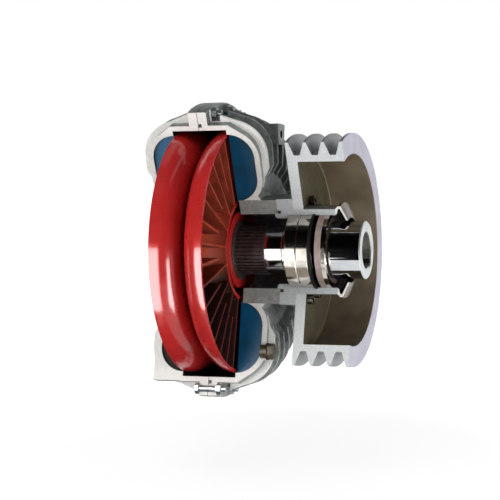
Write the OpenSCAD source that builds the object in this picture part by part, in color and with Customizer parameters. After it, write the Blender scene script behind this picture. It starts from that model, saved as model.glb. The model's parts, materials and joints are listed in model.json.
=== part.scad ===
// Double-circuit fluid coupling with a V-belt pulley, opened by a wedge-shaped
// display cut. The axis is X. The motor shaft enters the bore from +X.
// Axial places are counted from the casing's flange joint, and the whole part is
// then moved so that the origin is where the motor bore's wall begins.

/* [Display cut] */
// Angle of each cut face in front of the vertical plane, degrees
cut_forward = 19; // [10:1:30]

/* [Casing halves] */
// Outside diameter of the bolted flange
flange_d = 313; // [300:1:330]
// Width of the flange outside the casing barrel
flange_w = 14.6; // [13:0.1:17]
// Flange thickness on each half
flange_t = 10; // [8:0.5:12]
// Wall thickness of the casing
casing_wall = 5.4; // [4.5:0.1:6]
// Width of the flat land round each vaned bowl
land_w = 5; // [4:0.5:6]
// Axial depth of each casing bowl
bowl_depth = 26.2; // [24:0.2:28]
// Smallest diameter of each casing bowl
bowl_inner_d = 113; // [110:1:116]
// Bore of the casing hub round the shaft
hub_bore_d = 82.8; // [82:0.2:85]
// Outside diameter of the casing hub
hub_d = 115; // [114:1:120]
// Axial place of the casing hub's end, where the bearing housing is bolted on
hub_end = 72.5; // [71:0.5:75]
// Depth of the spigot that centres the two halves
spigot_depth = 4; // [3:0.5:5]
// Radial thickness of that spigot
spigot_t = 2.6; // [2:0.1:3]

/* [Cooling ribs] */
// Angle between neighbouring ribs is the kept sweep divided by this count less one
rib_count = 22; // [12:1:26]
// Thickness of a rib
rib_t = 3.6; // [2.5:0.1:5]
// Height of a rib over the casing wall
rib_h = 6.6; // [4:0.2:8]
// Angle between a cut face and its first rib, degrees
rib_setback = 5; // [4:0.5:7]
// How far a rib stays below the flange's edge where it meets the flange
rib_drop = 4; // [3:0.5:8]

/* [Casing vanes] */
// Vanes in each casing half over the kept sweep
casing_vanes = 23; // [13:1:25]
// Thickness of a casing vane
casing_vane_t = 2.6; // [2:0.1:3.5]
// Angle between a cut face and the vane behind it, degrees
vane_setback = 2.5; // [1.5:0.5:4]

/* [Runner] */
// Half the width over the two runner faces
runner_half = 27.8; // [26:0.2:29]
// Running gap between a runner face and the casing land
face_gap = 1.5; // [1:0.1:2.5]
// Running gap between the runner rims and the casing bore
rim_gap = 5.5; // [4:0.5:7]
// Thickness of the runner bowl
runner_wall = 3.5; // [3:0.1:4]
// Axial depth of a runner bowl
runner_depth = 22; // [20:0.2:22.6]
// Smallest diameter of a runner bowl
runner_inner_d = 106; // [105:1:110]
// Vanes in each runner, long and short by turns
runner_vanes = 36; // [20:2:40]
// Thickness of a runner vane
runner_vane_t = 2.2; // [1.6:0.1:3]
// Diameter at which the short vanes end
short_vane_d = 152; // [140:2:180]
// Diameter of the runner hub's collar
collar_d = 81; // [78:0.5:81]
// Half the length of the runner hub
hub_half = 25.6; // [24:0.2:26]
// Thickness of the hub flange that the runners are bolted to
hub_flange_t = 8; // [6:0.5:9]
// Diameter of the hub flange
hub_flange_d = 124; // [112:1:126]
// Thickness of the bolted web of a runner
runner_web_t = 5.5; // [4:0.5:7]

/* [Hollow shaft] */
// Motor shaft bore
bore_d = 38; // [36:1:42]
// Length of the cylindrical bore wall
bore_depth = 80; // [70:1:85]
// Chamfer at the mouth of the bore
bore_chamfer = 1; // [0.5:0.1:1.5]
// Width of the keyway
key_w = 10; // [8:1:12]
// Depth of the keyway below the bore wall
key_t = 3.3; // [2.8:0.1:4]
// Angle of the keyway from straight down towards the back, degrees
key_angle = 40; // [0:5:355]
// Hole for the draw bolt through the rest of the shaft
draw_hole_d = 17.5; // [13:0.5:22]
// Outside diameter of the shaft end
shaft_d = 60; // [59:0.5:62]
// Length of the shaft end beyond the bearing shoulder
shaft_end_l = 52.8; // [50:0.2:58]
// Diameter of the neck between splines and bearings
neck_d = 50; // [48:0.5:52]
// Root diameter of the splines
spline_root_d = 49; // [48:0.2:50]
// Height of a spline tooth
spline_h = 1.6; // [1:0.1:2]
// Number of spline teeth
spline_teeth = 40; // [24:2:44]
// Axial place where the splines end
spline_end = 59; // [50:1:66]

/* [Bearings] */
// Bore of both ball bearings
bearing_d = 55; // [54:0.5:56]
// Outside diameter of both ball bearings
bearing_od = 80; // [79:0.5:82]
// Width of a ball bearing
bearing_w = 13; // [12:0.5:14]
// Ball diameter
ball_d = 7.2; // [6.6:0.1:7.6]
// Balls in a bearing
ball_count = 16; // [12:1:18]
// Radial thickness of the outer races
race_t = 3.8; // [3.5:0.1:4]

/* [Bearing housing] */
// Thickness of the housing's flange between casing hub and pulley
block_t = 17.5; // [16:0.5:20]
// Outside diameter of the sleeve that carries the pulley
sleeve_d = 93.6; // [91:0.2:95]
// Length of the sleeve beyond the housing's flange
sleeve_l = 44.7; // [43:0.1:48]
// Inside diameter of the lip that stops the bearings
lip_d = 73; // [70:0.5:75]
// Axial length of that lip inside the casing hub's face
lip_l = 12; // [10:0.5:13]
// Width of the bearing circlip
circlip_t = 2.5; // [2:0.1:3]
// Free space between the circlip and the shaft seal
seal_space = 4.8; // [3:0.2:6]
// Width of the shaft seal
seal_w = 6.5; // [5:0.5:8]
// Width of the ring that keeps the shaft seal
keeper_w = 4.5; // [3:0.5:6]
// Height of the end cap's bead over the sleeve
cap_bead = 3; // [2:0.2:4]
// Axial length of the end cap
cap_l = 12.5; // [10:0.5:15]
// Sheet thickness of the end cap
cap_t = 2; // [1.5:0.1:2.5]

/* [Pulley] */
// Outside diameter of the pulley
pulley_d = 243; // [240:1:250]
// Distance between belt grooves
groove_pitch = 19; // [18:0.5:20]
// Number of belt grooves
groove_count = 3; // [2:1:4]
// Distance from a pulley face to the nearest groove
groove_edge = 11.4; // [11:0.1:13]
// Groove width at the outside diameter
groove_top_w = 16.2; // [15:0.1:17]
// Depth of a groove
groove_depth = 14.3; // [12:0.1:15]
// Full angle of a groove, degrees
groove_angle = 38; // [34:1:40]
// Metal under the grooves
rim_under = 7.2; // [6:0.2:9]
// Thickness of the pulley web
web_t = 11; // [8:0.2:12]
// Fillet between web and rim
web_fillet = 1; // [0.5:0.5:8]

/* [Fasteners] */
// Flange bolts in a full circle
flange_bolts_full = 24; // [16:1:28]
// Thread diameter of flange bolts and pulley screws
bolt_d = 6; // [5:0.5:7]
// Width across flats of the flange bolts
bolt_af = 10; // [8:0.5:11]
// Free bolt end beyond a nut
bolt_tail = 5; // [2:0.5:8]
// Pulley screws in a full circle
pulley_screws_full = 12; // [8:1:16]
// Circle diameter of the pulley screws
pulley_screw_pcd = 104; // [103:0.5:108]
// Metal outside the pulley screws' circle on the bearing housing's flange
screw_edge = 6.5; // [6:0.1:8]
// Angle between a cut face and the first pulley screw, degrees
screw_setback = 9; // [6:1:15]
// Runner bolts in a full circle
runner_bolt_count = 12; // [8:1:18]
// Thread diameter of the runner bolts
runner_bolt_d = 5; // [4:0.5:5.5]
// Thread diameter of the oil plugs
plug_d = 14; // [12:0.5:16]
// Height of the cast pad on the left half
pad_w = 28; // [24:1:32]

/* [Clearances] */
// Radial clearance of a seat that does not turn
seat_gap = 0.03; // [0.02:0.01:0.1]
// Clearance of a bolt in its hole
hole_gap = 0.3; // [0.2:0.05:0.5]
// Clearance of an oil plug's plain thread in its hole
plug_gap = 0.1; // [0.05:0.01:0.2]
// Clearance between a ball and its races or cage
ball_gap = 0.15; // [0.1:0.01:0.2]
// Clearance between the seal lip and the turning shaft
lip_gap = 0.1; // [0.05:0.01:0.2]

/* [Hidden] */
$fn = 96;

// Kept sweep of every sectioned piece
sweep = 180 + 2 * cut_forward;
cut_start = -cut_forward;

// Casing radii and axial places
flange_r = flange_d / 2;
casing_bore_d = flange_d - 2 * (flange_w + casing_wall);
barrel_in = casing_bore_d / 2;
barrel_out = barrel_in + casing_wall;
bowl_out = barrel_in - land_w;
bowl_in = bowl_inner_d / 2;
land_x = runner_half + face_gap;
bowl_back = land_x + bowl_depth;
shell_r = bowl_depth + casing_wall;
shell_back = land_x + shell_r;
hub_step = 2.5;
hub_x = land_x + hub_step;
hub_bore = hub_bore_d / 2;
hub_r = hub_d / 2;
hub_lap = 1;
hub_root = max(hub_r, bowl_in + hub_lap);
hub_fillet = 6;
hub_cone = shell_back - 4.9;
rib_r = shell_r + rib_h;

// Casing fasteners and seals
bolt_circle = (barrel_out + flange_r) / 2;
bolt_r = bolt_d / 2;
head_h = bolt_d * 0.65;
nut_h = bolt_d * 0.85;
spot_gap = 0.6;
spot_depth = 0.4;
spot_r = bolt_af / 2 / cos(30) + spot_gap;
nut_room = nut_h + bolt_tail + spot_gap;
cord_d = 3.4;
cord_room = 0.1;
cord_groove = cord_d + 2 * cord_room;
cord_wall = 1;
flange_cord_r = barrel_in + spigot_t + cord_wall + cord_groove / 2;
bolt_step = 360 / flange_bolts_full;
bolt_total = floor(sweep / bolt_step) + 1;
screw_step = 360 / pulley_screws_full;
screw_total = floor((sweep - 2 * screw_setback) / screw_step) + 1;
screw_start = cut_start + screw_setback;
screw_circle = pulley_screw_pcd / 2;
screw_head_r = bolt_d * 0.83;
screw_grip = 12;
screw_tip_room = 3;

// Bearing housing and shaft places along the axis
block_d = pulley_screw_pcd + 2 * screw_edge;
block_end = hub_end + block_t;
sleeve_end = block_end + sleeve_l;
sleeve_r = sleeve_d / 2;
seat_r = bearing_od / 2;
race_a_x = hub_end + lip_l;
race_b_x = race_a_x + bearing_w;
shoulder_x = race_b_x + bearing_w;
seal_x = shoulder_x + circlip_t + seal_space;
keeper_x = seal_x + seal_w;
shaft_r = shaft_d / 2;
shaft_tip = shoulder_x + shaft_end_l;
bore_start = shaft_tip - bore_chamfer;
shaft_tail = -runner_half - 1;
ring_t = 2;
ring_room = 0.06;
ring_gap_angle = 24;
ring_depth = 1.5;
lip_chamfer = 2;
spigot_l = 3;
hub_cord_r = hub_bore + cord_wall / 2 + cord_groove / 2;

// Runner radii
rim_r = barrel_in - rim_gap;
runner_out = rim_r - runner_wall;
runner_in = runner_inner_d / 2;
web_face = hub_flange_t / 2;
collar_r = collar_d / 2;
runner_bolt_circle = (collar_r + runner_in - runner_wall) / 2;
runner_head_h = runner_bolt_d * 0.8;
runner_head_r = runner_bolt_d * 0.8;
runner_nut_h = runner_bolt_d * 0.8;

// Bearing radii
ball_circle = (bearing_od + bearing_d) / 4;
groove_r = ball_d / 2 + ball_gap;
race_edge = 0.8;
cage_w = ball_d + 3;
cage_t = 2.6;

// Pulley
pulley_r = pulley_d / 2;
pulley_w = 2 * groove_edge + (groove_count - 1) * groove_pitch;
pulley_end = block_end + pulley_w;
rim_in = pulley_r - groove_depth - rim_under;
groove_floor_w = groove_top_w - 2 * groove_depth * tan(groove_angle / 2);

// Oil plugs
plug_r = plug_d / 2;
plug_head_h = plug_d * 0.45;
plug_boss_r = plug_r + 2.2;
plug_spot_r = plug_boss_r + spot_depth;
washer_r = plug_r + 2;
washer_t = 1.6;
boss_end = shell_back + 1.4;
fusible_r = bowl_out - bowl_depth + 3;
boss_root = shell_back - casing_wall * 0.55;
pad_out = barrel_out - 0.5;
pad_angle = 6.5;
pad_end = shell_back + 1.5;
filler_boss_r = 11;
filler_boss_end = land_x + rib_r + 2.5;
filler_circle = bowl_out - 9.5;
filler_half = asin(filler_boss_r / filler_circle);
vane_step = (sweep - 2 * vane_setback) / (casing_vanes - 1);
filler_place = 0.9;
filler_angle = cut_start + vane_setback + (floor(filler_place * casing_vanes) - 0.5) * vane_step;
filler_plug_l = plug_d;
socket_depth = plug_d * 0.5;
socket_across = plug_d * 0.6;
centre_r = 24;
centre_plate_t = 8;
centre_boss_r = 33;
centre_boss_l = 20;
centre_head_h = 6;
centre_socket = 5;
centre_across = centre_r * 0.8;

// Moves a piece from flange-joint places to the part's own frame
module placed() { translate([-bore_start, 0, 0]) children(); }

// Turns a profile drawn as (radius, axial place) about the axis
module turned(angle = 360, start = 0) {
  rotate([0, 90, 0]) rotate([0, 0, start]) rotate_extrude(angle = angle) children();
}

// The same, kept only behind the display cut
module sectioned() { turned(sweep, cut_start) children(); }

// A flat plate of a (radius, axial place) profile, standing at an angle round the axis
module plate(angle, thickness) {
  rotate([angle, 0, 0]) rotate([0, 90, 0]) rotate([90, 0, 0])
    linear_extrude(thickness, center = true) children();
}

// A cylinder along the axis at a radius and an angle
module stud(angle, circle_r, x, length, r, sides = 48) {
  rotate([angle, 0, 0]) translate([x, 0, -circle_r]) rotate([0, 90, 0])
    cylinder(h = length, r = r, $fn = sides);
}

// A hexagon prism along the axis, by its width across flats
module hexagon(angle, circle_r, x, length, across) {
  stud(angle, circle_r, x, length, across / 2 / cos(30), 6);
}

// A rectangle by its radii and axial places
module band(r1, r2, x1, x2) { translate([r1, x1]) square([r2 - r1, x2 - x1]); }

// A half-torus section: quarter arcs at both ends and a flat back
module half_round(r_in, r_out, depth, face) {
  intersection() {
    translate([r_out - depth, face]) circle(depth);
    band(r_out - depth, r_out, face, face + depth);
  }
  intersection() {
    translate([r_in + depth, face]) circle(depth);
    band(r_in, r_in + depth, face, face + depth);
  }
  band(r_in + depth, r_out - depth, face, face + depth);
}

// Wall section that both casing halves share, with x counted away from the joint
module casing_wall_section() {
  shoulder = 36;
  difference() {
    union() {
      band(barrel_in, flange_r, 0, flange_t);
      polygon([
        [barrel_in, 0], [barrel_out, 0], [barrel_out, land_x + hub_step],
        [bowl_out - bowl_depth + shell_r * cos(shoulder), land_x + shell_r * sin(shoulder)],
        [bowl_out - 1, land_x + bowl_depth / 2], [bowl_out - 1, land_x], [barrel_in, land_x]
      ]);
      half_round(bowl_in - casing_wall, bowl_out + casing_wall, shell_r, land_x);
    }
    half_round(bowl_in, bowl_out, bowl_depth, land_x);
    band(0, bowl_in, land_x - 1, hub_x);
  }
}

// One cooling rib's outline, rooted in the middle of the casing wall, with room for nuts at the flange
module rib_outline(channel) {
  crown = bowl_out - bowl_depth;
  root = bowl_depth + casing_wall / 2;
  mid_wall = barrel_in + casing_wall / 2;
  heel = bowl_in + bowl_depth / 2 + 6;
  lap = 2;
  sink = 0.3;
  end_r = flange_r - rib_drop;
  reach = norm([end_r - crown, flange_t - land_x]);
  touch = atan2(flange_t - land_x, end_r - crown) + acos((rib_r - sink) / reach);
  touch_r = crown + (rib_r - sink) * cos(touch);
  touch_x = land_x + (rib_r - sink) * sin(touch);
  difference() {
    union() {
      intersection() {
        translate([crown, land_x]) circle(rib_r);
        band(crown, crown + rib_r, land_x, land_x + rib_r);
      }
      polygon([
        [crown + lap, land_x], [crown + lap, land_x + rib_r - sink], [crown, land_x + rib_r],
        [(heel + crown) / 2, land_x + rib_r], [heel, shell_back - casing_wall / 2], [heel, land_x]
      ]);
      polygon([
        [crown, land_x], [crown, touch_x], [touch_r, touch_x], [end_r, flange_t],
        [end_r, flange_t - 1], [mid_wall, flange_t - 1], [mid_wall, land_x]
      ]);
    }
    translate([crown, land_x]) circle(root);
    band(0, crown, 0, land_x + root);
    band(0, mid_wall, 0, land_x + hub_step);
    if (channel > 0) band(mid_wall + sink, flange_r, 0, flange_t + channel);
  }
}

// Bolt angles round the flange: the first bolt lies in the lower cut face
function bolt_angle(i) = cut_start + i * bolt_step;
function screw_angle(i) = screw_start + i * screw_step;
function vane_angle(i) = cut_start + vane_setback + i * vane_step;
function rib_angle(i) =
  cut_start + rib_setback + i * (sweep - 2 * rib_setback) / (rib_count - 1);

// Ribs and vanes of a casing half, with x counted away from the joint
module casing_ribs(channel) {
  for (i = [0 : rib_count - 1]) plate(rib_angle(i), rib_t) rib_outline(channel);
}

module casing_vane_set() {
  root = 1;
  for (i = [0 : casing_vanes - 1])
    plate(vane_angle(i), casing_vane_t)
      half_round(bowl_in - root, bowl_out + root, bowl_depth + root, land_x + root / 2);
}

module flange_holes() {
  for (i = [0 : bolt_total - 1])
    stud(bolt_angle(i), bolt_circle, -1, flange_t + 2, bolt_r + hole_gap);
}

// Keeps a round boss within the sectioned sweep
module kept_boss(angle, circle_r, x1, x2, r) {
  intersection() {
    stud(angle, circle_r, x1, x2 - x1, r);
    sectioned() band(1, flange_r, x1 - 1, x2 + 1);
  }
}

// A cast pad on the outside of a bowl, between two angles and two radii
module cast_pad(start, angle, r1, r2, x2) {
  lap = casing_wall / 3;
  turned(angle, start) difference() {
    band(r1, r2, hub_x, x2);
    half_round(bowl_in - lap, bowl_out + lap, bowl_depth + lap, land_x);
  }
}

// Left half: closed dish with a central boss for the access plug
module left_casing() color("gainsboro") placed() mirror([1, 0, 0]) difference() {
  union() {
    sectioned() {
      casing_wall_section();
      band(barrel_in, barrel_in + spigot_t - seat_gap, seat_gap - spigot_depth, 1);
      band(centre_r + plug_gap, bowl_in, hub_x, hub_x + centre_plate_t);
      band(centre_r + plug_gap, centre_boss_r, hub_x, hub_x + centre_boss_l);
    }
    casing_ribs(0);
    casing_vane_set();
    cast_pad(cut_start, pad_angle, pad_out - pad_w, pad_out, pad_end);
  }
  flange_holes();
  for (i = [0 : bolt_total - 1])
    stud(bolt_angle(i), bolt_circle, flange_t - spot_depth, land_x, spot_r);
}

// Right half: open hub that the bearing housing is bolted to
module right_casing() color("gainsboro") placed() difference() {
  union() {
    difference() {
      sectioned() {
        casing_wall_section();
        band(hub_bore, hub_root, hub_x, hub_end);
        polygon([
          [hub_root - hub_lap, hub_cone - 2 * hub_fillet], [hub_root + hub_fillet, hub_cone - hub_fillet / 2],
          [hub_root, hub_cone], [hub_root - hub_lap, hub_cone]
        ]);
      }
      sectioned() {
        band(0, barrel_in + spigot_t, -1, spigot_depth);
        band(flange_cord_r - cord_groove / 2, flange_cord_r + cord_groove / 2, -1, cord_groove);
      }
    }
    casing_ribs(nut_room);
    casing_vane_set();
    kept_boss(cut_start, fusible_r, boss_root, boss_end + spot_depth, plug_boss_r);
    cast_pad(filler_angle - filler_half, 2 * filler_half, filler_circle - filler_boss_r,
      filler_circle + filler_boss_r, filler_boss_end);
  }
  flange_holes();
  for (i = [0 : screw_total - 1])
    stud(screw_angle(i), screw_circle, hub_end - screw_grip - screw_tip_room, screw_grip + screw_tip_room + 1,
      bolt_r + seat_gap);
  stud(cut_start, fusible_r, bowl_back - 0.2, boss_end - bowl_back + 1, plug_r + plug_gap);
  stud(cut_start, fusible_r, boss_end, rib_r, plug_spot_r);
  stud(filler_angle, filler_circle, land_x + bowl_depth / 4, filler_boss_end - land_x, plug_r + plug_gap);
}

module flange_o_ring() color("#202020") placed() sectioned()
  translate([flange_cord_r, cord_groove / 2]) circle(cord_d / 2);

module flange_bolts() color("silver") placed()
  for (i = [0 : bolt_total - 1]) {
    hexagon(bolt_angle(i), bolt_circle, spot_depth - flange_t - head_h, head_h, bolt_af);
    stud(bolt_angle(i), bolt_circle, -flange_t, 2 * flange_t + nut_h + bolt_tail, bolt_r);
  }

module flange_nuts() color("silver") placed()
  for (i = [0 : bolt_total - 1])
    difference() {
      hexagon(bolt_angle(i), bolt_circle, flange_t, nut_h, bolt_af);
      stud(bolt_angle(i), bolt_circle, flange_t - 1, nut_h + 2, bolt_r + seat_gap);
    }

// Fusible safety plug, left whole in the lower cut face
module fusible_plug() color("saddlebrown") placed() {
  stud(cut_start, fusible_r, bowl_back + 0.3, boss_end + washer_t - bowl_back - 0.3, plug_r);
  hexagon(cut_start, fusible_r, boss_end + washer_t, plug_head_h, plug_d * 1.05);
}

// Filler plug with a hexagon socket, flush with its boss
module filler_plug() color("dimgray") placed() difference() {
  stud(filler_angle, filler_circle, filler_boss_end - filler_plug_l, filler_plug_l, plug_r);
  hexagon(filler_angle, filler_circle, filler_boss_end - socket_depth, 2 * socket_depth, socket_across);
}

// Access plug to the draw bolt, in the left half's boss
module centre_plug() color("silver") placed() mirror([1, 0, 0]) {
  boss_face = hub_x + centre_boss_l + washer_t;
  difference() {
    turned() {
      band(0, centre_r, hub_x + 1, boss_face);
      band(0, centre_boss_r - 2, boss_face, boss_face + centre_head_h);
    }
    hexagon(0, 0, boss_face - centre_socket, 2 * (centre_socket + centre_head_h), centre_across);
  }
}

module plug_washers() color("peru") placed() {
  mirror([1, 0, 0]) turned()
    band(centre_r + seat_gap, centre_boss_r - 1, hub_x + centre_boss_l, hub_x + centre_boss_l + washer_t);
  difference() {
    stud(cut_start, fusible_r, boss_end, washer_t, washer_r);
    stud(cut_start, fusible_r, boss_end - 1, washer_t + 2, plug_r + seat_gap);
  }
}

module hub_o_ring() color("#202020") placed() sectioned()
  translate([hub_cord_r, hub_end + cord_groove / 2]) circle(cord_d / 2);

// Flange block, pulley sleeve and bearing lip in one turned piece
module bearing_housing() color("lightgray") placed() difference() {
  sectioned() difference() {
    polygon([
      [lip_d / 2, hub_end - spigot_l + lip_chamfer], [lip_d / 2 + lip_chamfer, hub_end - spigot_l],
      [hub_bore - seat_gap, hub_end - spigot_l], [hub_bore - seat_gap, hub_end],
      [block_d / 2, hub_end], [block_d / 2, block_end], [sleeve_r, block_end],
      [sleeve_r, sleeve_end], [seat_r + seat_gap, sleeve_end], [seat_r + seat_gap, race_a_x],
      [lip_d / 2, race_a_x]
    ]);
    band(hub_cord_r - cord_groove / 2, hub_cord_r + cord_groove / 2, hub_end - 1, hub_end + cord_groove);
    band(seat_r - 1, seat_r + ring_depth, shoulder_x, shoulder_x + circlip_t + ring_room);
  }
  for (i = [0 : screw_total - 1])
    stud(screw_angle(i), screw_circle, hub_end - 1, block_t + 2, bolt_r + hole_gap);
}

// One V groove, drawn as (radius, axial place)
module groove(x) {
  polygon([
    [pulley_r - groove_depth, x - groove_floor_w / 2], [pulley_r - groove_depth, x + groove_floor_w / 2],
    [pulley_r + 1, x + groove_top_w / 2 + tan(groove_angle / 2)],
    [pulley_r + 1, x - groove_top_w / 2 - tan(groove_angle / 2)]
  ]);
}

module pulley() color("lightgray") placed() difference() {
  sectioned() difference() {
    union() {
      band(sleeve_r + seat_gap, pulley_r, block_end, block_end + web_t);
      band(rim_in, pulley_r, block_end, pulley_end);
      difference() {
        band(rim_in - web_fillet, rim_in + 1, block_end + 1, block_end + web_t + web_fillet);
        translate([rim_in - web_fillet, block_end + web_t + web_fillet]) circle(web_fillet);
      }
    }
    for (i = [0 : groove_count - 1]) groove(block_end + groove_edge + i * groove_pitch);
  }
  for (i = [0 : screw_total - 1])
    stud(screw_angle(i), screw_circle, block_end - 1, web_t + 2, bolt_r + hole_gap);
}

// Socket screws that hold pulley, housing and casing hub together
module pulley_screws() color("silver") placed()
  for (i = [0 : screw_total - 1])
    difference() {
      union() {
        stud(screw_angle(i), screw_circle, hub_end - screw_grip, block_t + web_t + screw_grip, bolt_r);
        stud(screw_angle(i), screw_circle, block_end + web_t, bolt_d, screw_head_r);
      }
      hexagon(screw_angle(i), screw_circle, block_end + web_t + bolt_d / 2, bolt_d, bolt_d * 0.83);
    }

// Ring section with a ball groove; inner and outer races share it
module race_section(r1, r2, x) {
  difference() {
    polygon([
      [r1, x + race_edge], [r1 + race_edge, x], [r2 - race_edge, x], [r2, x + race_edge],
      [r2, x + bearing_w - race_edge], [r2 - race_edge, x + bearing_w],
      [r1 + race_edge, x + bearing_w], [r1, x + bearing_w - race_edge]
    ]);
    translate([ball_circle, x + bearing_w / 2]) circle(groove_r);
  }
}

module outer_race(x) color("silver") placed() turned() race_section(seat_r - race_t, seat_r, x);
module inner_race(x) color("silver") placed() turned()
  race_section(bearing_d / 2 + seat_gap, bearing_d / 2 + race_t, x);

module balls(x) color("white") placed()
  for (i = [0 : ball_count - 1])
    rotate([i * 360 / ball_count, 0, 0]) translate([x + bearing_w / 2, 0, -ball_circle]) sphere(d = ball_d);

module cage(x) color("darkgoldenrod") placed() difference() {
  turned() band(ball_circle - cage_t / 2, ball_circle + cage_t / 2,
    x + (bearing_w - cage_w) / 2, x + (bearing_w + cage_w) / 2);
  for (i = [0 : ball_count - 1])
    rotate([i * 360 / ball_count, 0, 0]) translate([x + bearing_w / 2, 0, -ball_circle])
      sphere(r = ball_d / 2 + ball_gap);
}

module bearing_a_outer_race() outer_race(race_a_x);
module bearing_b_outer_race() outer_race(race_b_x);
module bearing_a_inner_race() inner_race(race_a_x);
module bearing_b_inner_race() inner_race(race_b_x);
module bearing_a_balls() balls(race_a_x);
module bearing_b_balls() balls(race_b_x);
module bearing_a_cage() cage(race_a_x);
module bearing_b_cage() cage(race_b_x);

// Split ring with its gap at the back
module split_ring(r1, r2, x, thickness) {
  turned(360 - ring_gap_angle, 90 + ring_gap_angle / 2) band(r1, r2, x, x + thickness);
}

module housing_circlip() color("gainsboro") placed()
  split_ring(seat_r - 4, seat_r + ring_depth - ring_room, shoulder_x + ring_room / 2, circlip_t);

// Radial lip seal, open towards the oil
module shaft_seal() color("rosybrown") placed() turned() {
  lip_r = shaft_r + lip_gap;
  case_t = 2.6;
  polygon([
    [seat_r, seal_x], [seat_r, seal_x + seal_w], [lip_r + 2, seal_x + seal_w],
    [lip_r, seal_x + seal_w * 0.75], [lip_r, seal_x + seal_w * 0.55],
    [lip_r + 1.5, seal_x + seal_w * 0.3], [lip_r + 3, seal_x + seal_w * 0.7],
    [seat_r - case_t, seal_x + seal_w * 0.7], [seat_r - case_t, seal_x]
  ]);
}

module seal_keeper() color("gainsboro") placed() turned()
  band(seat_r - 5, seat_r, keeper_x, keeper_x + keeper_w);

// Pressed dust cap on the sleeve's end, with a bead and an inward cone
module end_cap() color("gainsboro") placed() sectioned() {
  bead_r = sleeve_r + cap_bead;
  mouth_r = shaft_r + 4;
  polygon([
    [seat_r + 1, sleeve_end], [sleeve_r, sleeve_end], [bead_r, sleeve_end + cap_bead],
    [bead_r, sleeve_end + cap_bead + cap_t * 1.5], [mouth_r, sleeve_end + cap_l],
    [mouth_r, sleeve_end + cap_l - cap_t], [bead_r - cap_t * 1.5, sleeve_end + cap_bead + cap_t],
    [bead_r - cap_t * 1.5, sleeve_end + cap_bead], [seat_r + 1, sleeve_end + cap_t / 2]
  ]);
}

// Spline outline, grown by a clearance for the hub's own bore
module spline_outline(clear) {
  root_r = spline_root_d / 2;
  tooth_w = PI * spline_root_d / spline_teeth / 2;
  circle(root_r + clear);
  for (i = [0 : spline_teeth - 1])
    rotate(i * 360 / spline_teeth) translate([root_r - 1, -tooth_w / 2 - clear])
      square([spline_h + 1 + clear, tooth_w + 2 * clear]);
}

module hollow_shaft() color("silver") placed() difference() {
  groove_in = spline_root_d / 2 - 0.5;
  seat_start = race_a_x - ring_t - 3;
  union() {
    translate([shaft_tail, 0, 0]) rotate([0, 90, 0])
      linear_extrude(spline_end - shaft_tail) spline_outline(0);
    turned() polygon([
      [1, spline_end - 1], [neck_d / 2, spline_end - 1], [neck_d / 2, seat_start - 2],
      [bearing_d / 2, seat_start], [bearing_d / 2, shoulder_x], [shaft_r, shoulder_x],
      [shaft_r, shaft_tip - 1], [shaft_r - 1, shaft_tip], [1, shaft_tip]
    ]);
  }
  turned() {
    band(0, draw_hole_d / 2, shaft_tail - 1, bore_start - bore_depth + 1);
    polygon([
      [0, bore_start - bore_depth], [bore_d / 2, bore_start - bore_depth], [bore_d / 2, bore_start],
      [bore_d / 2 + bore_chamfer + 1, shaft_tip + 1], [0, shaft_tip + 1]
    ]);
    band(groove_in, shaft_r, hub_half - ring_room / 2, hub_half + ring_t + ring_room / 2);
    band(groove_in, shaft_r, -hub_half - ring_t - ring_room / 2, ring_room / 2 - hub_half);
    band(bearing_d / 2 - ring_depth, shaft_r, race_a_x - ring_t - ring_room, race_a_x - ring_room / 2);
  }
  rotate([key_angle, 0, 0]) translate([bore_start - bore_depth + key_w / 2, -key_w / 2, -bore_d / 2 - key_t])
    cube([bore_depth, key_w, bore_d / 2 + key_t]);
}

// Steel hub with inner splines and a flange between the two runners
module runner_hub() color("firebrick") placed() difference() {
  turned() {
    band(1, collar_r, -hub_half, hub_half);
    band(1, hub_flange_d / 2, -web_face, web_face);
  }
  translate([-hub_half - 1, 0, 0]) rotate([0, 90, 0])
    linear_extrude(2 * hub_half + 2) spline_outline(seat_gap);
  runner_bolt_holes(-web_face - 1, 2 * web_face + 2);
}

module runner_bolt_holes(x, length) {
  for (i = [0 : runner_bolt_count - 1])
    stud(i * 360 / runner_bolt_count, runner_bolt_circle, x, length, runner_bolt_d / 2 + hole_gap);
}

// One vaned runner: x is counted from its open face towards the hub flange
module runner() translate([runner_half, 0, 0]) mirror([1, 0, 0]) {
  back = runner_half - web_face;
  root = 1;
  difference() {
    turned() difference() {
      union() {
        half_round(runner_in - runner_wall, rim_r, runner_depth + runner_wall, 0);
        band(collar_r + seat_gap, runner_in + runner_depth, back - runner_web_t, back);
      }
      half_round(runner_in, runner_out, runner_depth, 0);
    }
    runner_bolt_holes(back - runner_web_t - 1, runner_web_t + 2);
  }
  for (i = [0 : runner_vanes - 1])
    plate(i * 360 / runner_vanes, runner_vane_t) intersection() {
      half_round(runner_in - root, runner_out + root, runner_depth + root, root / 2);
      band(i % 2 == 0 ? 0 : short_vane_d / 2, rim_r, 0, runner_half);
    }
}

module right_runner() color("firebrick") placed() runner();
module left_runner() color("firebrick") placed() mirror([1, 0, 0]) runner();

module runner_bolts() color("dimgray") placed() {
  face = web_face + runner_web_t;
  for (i = [0 : runner_bolt_count - 1]) {
    stud(i * 360 / runner_bolt_count, runner_bolt_circle, face, runner_head_h, runner_head_r);
    stud(i * 360 / runner_bolt_count, runner_bolt_circle, -face - runner_nut_h - 1,
      2 * face + runner_nut_h + 1, runner_bolt_d / 2);
  }
}

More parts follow.
